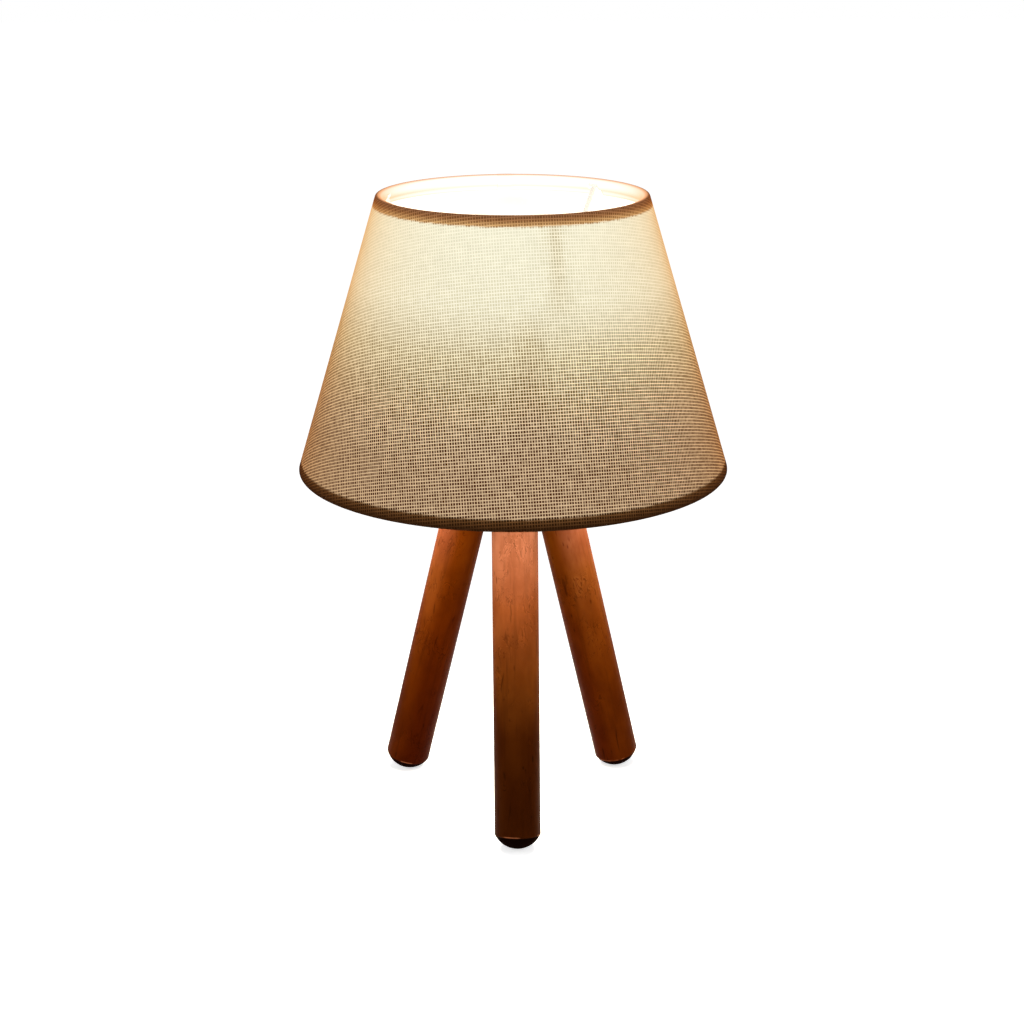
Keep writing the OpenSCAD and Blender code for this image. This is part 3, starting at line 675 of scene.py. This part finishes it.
def leg_paint(name, azimuth, painted_light, shaded_side):
    """A leg's wood, with painted lamplight that fades to the foot, painted shade and a painted highlight.
    """
    p = Paint(name)
    outward = Vector((math.sin(azimuth), -math.cos(azimuth), 0))
    axis = Vector((0, 0, math.cos(LEG_TILT))) - outward * math.sin(LEG_TILT)
    turn = axis.rotation_difference(Vector((0, 0, 1)))
    cut = Vector((azimuth * CUT_STEP, CUT_SIDE, 0))
    spot = p.mapped(p.where, cut - turn @ (outward * LEG_FOOT), turn.to_euler("XYZ"))
    colour, relief, marks = wood(p, spot, *LEG_WOOD)
    x, y, along = p.split(spot)
    height = p.split(p.where)[2]
    # painted lamplight: lighter and paler near the shade, darker towards the foot
    colour = p.tint(colour, p.ramp(p.over(height, PAINTED_LIGHT_HEIGHT), painted_light))
    # painted shade: the sides that the legs turn to each other are darker and redder, and have no sheen
    across = p.times(p.minus(x, cut.x), math.sin(azimuth))
    across = p.minus(across, p.times(p.minus(y, cut.y), math.cos(azimuth)))
    shaded = p.step(p.over(across, LEG_R), *shaded_side)
    colour = p.tint(colour, p.mix(shaded, INNER_SHADE_TINT, (1.0, 1.0, 1.0)))
    dome = p.fade(along, *DOME_EDGE)
    edge_highlight = p.times(p.near(along, *EDGE_HIGHLIGHT_LINE), zone(p, spot, *EDGE_HIGHLIGHT_ZONE))
    # painted shade: the rounded end faces down, away from the lamplight; partly end grain that takes the
    # stain darker
    colour = p.mix(p.times(dome, 0.96), colour, DOME_SHADE_COLOUR)
    # painted highlight along the edge where the rounded end meets the side
    colour = p.mix(p.times(edge_highlight, 0.60), colour, EDGE_HIGHLIGHT_COLOUR)
    gloss = p.plus(p.times(marks, 0.15), p.wear(160, 0.34, 0.46))
    p.set(
        Base_Color=colour,
        Roughness=p.most(gloss, p.times(dome, 0.95)),
        Specular_IOR_Level=0.007,
        Normal=p.bump(relief, 0.12 * MM, 0.6),
    )
    return p.material


def hub_paint():
    """The same wood with its grain lying down."""
    p = Paint("hub_wood_turned")
    colour, relief, _ = wood(p, p.mapped(p.where, turn=(0, math.pi / 2, 0)), *HUB_WOOD)
    p.set(
        Base_Color=colour,
        Roughness=p.wear(120, 0.36, 0.5),
        Specular_IOR_Level=0.3,
        Normal=p.bump(relief, 0.12 * MM, 0.6),
    )
    return p.material


# ---------------------------------------------------------------- finishes of the other solids
LINING_GLOW = 1.25
LAMP_GLOW = 0.7
WIRE_GLOW = 0.25
LINING_LIGHT = (  # colour of the glow by height
    (0.00, (1.0, 0.80, 0.55)),
    (0.30, (1.0, 0.88, 0.68)),
    (0.90, (1.0, 0.92, 0.76)),
    (1.00, (1.0, 0.80, 0.56)),
)
LINING_POWER = ((0.0, 0.42), (0.30, 0.55), (0.60, 0.80), (0.80, 1.0), (1.0, 1.0))  # and its strength


def lining_paint():
    """Stiff white film, lit through by the lamp."""
    p = Paint("shade_lining_film")
    grain = p.noise(p.where, 900, 3, 0.6)
    lift = p.step(p.split(p.where)[2], BOTTOM.y, TOP.y, smooth=False)
    power = p.ramp(lift, [(at, (share, share, share)) for at, share in LINING_POWER])
    p.set(
        Base_Color=p.mix(grain, (0.84, 0.80, 0.72), (0.92, 0.89, 0.82)),
        Roughness=0.55,
        Emission_Color=p.ramp(lift, LINING_LIGHT),
        Emission_Strength=p.times(power, LINING_GLOW),
        Normal=p.bump(grain, 0.02 * MM, 0.3),
    )
    return p.material


def metal_paint(name, dark, pale, rough=(0.28, 0.42)):
    """Turned or rolled metal, with fine marks round its axis and some tarnish."""
    p = Paint(name)
    x, y, z = p.split(p.where)
    turning = p.noise(p.join(p.times(x, 0.06), p.times(y, 0.06), z), 2700, 2)
    tarnish = p.noise(p.where, 130, 4, 0.6)
    p.set(
        Base_Color=p.mix(p.spread(tarnish), dark, pale),
        Metallic=1.0,
        Roughness=p.wear(240, *rough),
        Normal=p.bump(turning, 0.03 * MM, 0.4),
    )
    return p.material


def plastic_paint(name, dark, pale, rough=(0.3, 0.42), relief=0.02 * MM):
    """Moulded or glazed material with a fine grain."""
    p = Paint(name)
    grain = p.noise(p.where, 1400, 3, 0.6)
    tone = p.noise(p.where, 90, 3, 0.5)
    p.set(
        Base_Color=p.mix(p.spread(tone), dark, pale),
        Roughness=p.wear(300, *rough),
        Normal=p.bump(grain, relief, 0.5),
    )
    return p.material


def wire_paint():
    """White coated wire, with small chips that show the steel, and a painted glow for the lamplight on
    it.
    """
    p = Paint("shade_wire_coated")
    coat = p.noise(p.where, 500, 3, 0.6)
    chip = p.fade(p.speck(p.where, 160), 0.05, 0.09)
    white = p.mix(coat, (0.78, 0.76, 0.72), (0.82, 0.80, 0.76))
    p.set(
        Base_Color=p.mix(chip, white, (0.45, 0.44, 0.42)),
        Roughness=p.spread(coat, 0.32, 0.5),
        Emission_Color=(1.0, 0.93, 0.80),
        Emission_Strength=WIRE_GLOW,
        Normal=p.bump(coat, 0.03 * MM, 0.2),
    )
    return p.material


def globe_paint():
    """Opal glass with the light behind it, weaker at its neck."""
    p = Paint("lamp_globe_opal")
    cloud = p.noise(p.where, 120, 3, 0.5)
    foot, top = (corner.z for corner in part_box("lamp_globe"))
    lift = p.step(p.split(p.where)[2], foot, foot + 0.4 * (top - foot), 0.35, 1.0)
    power = p.times(p.plus(p.times(cloud, 0.1), 0.95), lift)
    p.set(
        Base_Color=p.mix(cloud, (0.86, 0.84, 0.80), (0.92, 0.90, 0.86)),
        Roughness=p.spread(cloud, 0.26, 0.34),
        Emission_Color=(1.0, 0.86, 0.62),
        Emission_Strength=p.times(power, LAMP_GLOW),
    )
    return p.material


def chip_paint():
    """Phosphor over the light chips, which are on."""
    p = Paint("light_chips_phosphor")
    dots = p.speck(p.where, 700)
    p.set(
        Base_Color=p.mix(p.step(dots, 0.1, 0.5), (0.95, 0.72, 0.20), (0.85, 0.60, 0.14)),
        Roughness=0.35,
        Emission_Color=(1.0, 0.80, 0.50),
        Emission_Strength=p.step(dots, 0.0, 0.6, 3.2, 2.4),
    )
    return p.material


def board_paint():
    """Green circuit board with straight tracks."""
    p = Paint("circuit_board_fibre")
    fibre = p.noise(p.where, 1500, 2)
    track = p.near(p.math("FRACT", p.times(p.split(p.where)[0], 380)), 0.5, 0.12, 0.18)
    green = p.mix(fibre, (0.02, 0.10, 0.05), (0.03, 0.15, 0.07))
    p.set(
        Base_Color=p.mix(p.times(track, 0.6), green, (0.05, 0.24, 0.11)),
        Roughness=p.spread(fibre, 0.35, 0.5),
        Normal=p.bump(track, 0.04 * MM, 0.6),
    )
    return p.material


def dress(material, *names):
    """Gives a material to nodes of the frame."""
    for name in names:
        slots = nodes[name].data.materials
        slots.clear()
        slots.append(material)


for leg, (azimuth, painted_light, shaded_side) in LEGS.items():
    dress(leg_paint(leg + "_wood", azimuth, painted_light, shaded_side), leg)
dress(hub_paint(), "hub")
dress(
    metal_paint("zinc_steel_plated", (0.52, 0.53, 0.54), (0.66, 0.67, 0.68)),
    "leg_screws", "flange", "flange_screws", "nipple", "cap_lock_screw",
)
dress(
    metal_paint("brass_turned", (0.70, 0.50, 0.20), (0.83, 0.62, 0.28), (0.22, 0.36)),
    "terminal_blocks", "terminal_screws", "centre_contact", "side_contact", "screw_shell",
)
dress(
    metal_paint("nickel_rolled", (0.60, 0.58, 0.54), (0.72, 0.70, 0.66), (0.2, 0.32)),
    "lamp_tip", "lamp_cap",
)
dress(
    metal_paint("board_aluminium_milled", (0.72, 0.73, 0.74), (0.82, 0.83, 0.84), (0.3, 0.45)),
    "lamp_led_board",
)
dress(
    plastic_paint("holder_plastic_moulded", (0.012, 0.012, 0.013), (0.022, 0.021, 0.021)),
    "holder_cap", "holder_sleeve", "lower_shade_ring", "upper_shade_ring",
)
dress(
    plastic_paint("ceramic_glazed", (0.78, 0.76, 0.71), (0.86, 0.84, 0.80), (0.15, 0.28), 0.05 * MM),
    "holder_insert",
)
dress(
    plastic_paint("black_glass_ring", (0.006, 0.006, 0.007), (0.012, 0.012, 0.013), (0.08, 0.16)),
    "lamp_insulator",
)
dress(
    plastic_paint("lamp_plastic_white", (0.78, 0.77, 0.75), (0.86, 0.85, 0.83), (0.35, 0.5)),
    "lamp_housing",
)
dress(board_paint(), "lamp_driver")
dress(chip_paint(), "lamp_leds")
dress(globe_paint(), "lamp_globe")
dress(lining_paint(), "shade_lining")
dress(wire_paint(), "shade_top_ring", "shade_bottom_ring", "shade_arms", "shade_fitter")

# ---------------------------------------------------------------- floor, background and lights
FLOOR_HALF = 6.0
FLOOR_LIFT = 0.64
WORLD_LIGHT = 0.40
MIDDLE = (0, 0, 0.15)
SHADE_LAMPS = 12
SHADE_LAMP_RING = 84 * MM
SHADE_LAMP_UP = 14 * MM  # over the lower wire's middle
SHADE_LAMP_SIZE = (42 * MM, 24 * MM)
SHADE_LAMP_POWER = 0.045
SHADE_LAMP_COLOUR = (1.0, 0.86, 0.66)
SHADE_LAMP_SPREAD = math.radians(110)
AIM_SHARE = 0.14  # they aim at a ring on the table, this share as wide as their own


def floor_paint():
    """White where the camera and mirrors see it, and a plain pale grey for the light it gives back.
    Its underside is clear, so that the lamp shows from below."""
    p = Paint("floor_pale")
    seen = p.seen()
    grey = p.mix(p.noise(p.where, 30, 3), (0.33, 0.33, 0.33), (0.36, 0.36, 0.36))
    p.set(
        Base_Color=p.mix(seen, grey, (0.96, 0.96, 0.96)),
        Roughness=0.9,
        Specular_IOR_Level=0.0,
        Emission_Color=(1.0, 1.0, 1.0),
        Emission_Strength=p.times(seen, FLOOR_LIFT),
    )
    clear = p.add("ShaderNodeBsdfTransparent").outputs[0]
    under = p.add("ShaderNodeNewGeometry").outputs["Backfacing"]
    either = p.add("ShaderNodeMixShader", under, p.shader.outputs[0], clear).outputs[0]
    p.put(p.output.inputs["Surface"], either)
    return p.material


def make_floor():
    mesh = bpy.data.meshes.new("floor")
    signs = ((-1, -1), (1, -1), (1, 1), (-1, 1))
    mesh.from_pydata([(x * FLOOR_HALF, y * FLOOR_HALF, 0) for x, y in signs], [], [(0, 1, 2, 3)])
    mesh.materials.append(floor_paint())
    floor = bpy.data.objects.new("floor", mesh)
    scene.collection.objects.link(floor)


def make_background():
    """White for the camera and mirrors, and dimmer as a light."""
    world = bpy.data.worlds.new("studio")
    scene.world = world
    world.use_nodes = True
    w = Nodes(world.node_tree)
    background = w.tree.nodes["Background"]
    w.put(background.inputs["Color"], (1.0, 1.0, 1.0))
    level = w.step(w.seen(), 0.0, 1.0, WORLD_LIGHT, 1.0, smooth=False)
    w.put(background.inputs["Strength"], level)


def area_light(name, place, aim, size, power, colour=(1, 1, 1)):
    data = bpy.data.lights.new(name, "AREA")
    data.shape = "RECTANGLE"
    data.size, data.size_y = size
    data.energy = power
    data.color = colour
    light = bpy.data.objects.new(name, data)
    toward = (Vector(aim) - Vector(place)).to_track_quat("-Z", "Y")
    light.matrix_world = Matrix.Translation(place) @ toward.to_matrix().to_4x4()
    scene.collection.objects.link(light)
    return light


def shade_lights():
    """What the lit shade throws on the legs, from a ring of lamps just inside its lower edge."""
    for k in range(SHADE_LAMPS):
        turn = TAU * k / SHADE_LAMPS
        x, y = SHADE_LAMP_RING * math.sin(turn), -SHADE_LAMP_RING * math.cos(turn)
        place = (x, y, BOTTOM.y + SHADE_LAMP_UP)
        aim = (AIM_SHARE * x, AIM_SHARE * y, 0)
        name = "shade_%02d" % k
        light = area_light(name, place, aim, SHADE_LAMP_SIZE, SHADE_LAMP_POWER, SHADE_LAMP_COLOUR)
        light.data.spread = SHADE_LAMP_SPREAD
        light.visible_camera = False
        light.visible_glossy = False


make_floor()
make_background()
area_light("key", (1.35, -0.55, 0.9), MIDDLE, (0.5, 0.9), 5)
area_light("fill", (-1.40, -0.45, 0.8), MIDDLE, (0.8, 0.8), 4.5)
shade_lights()
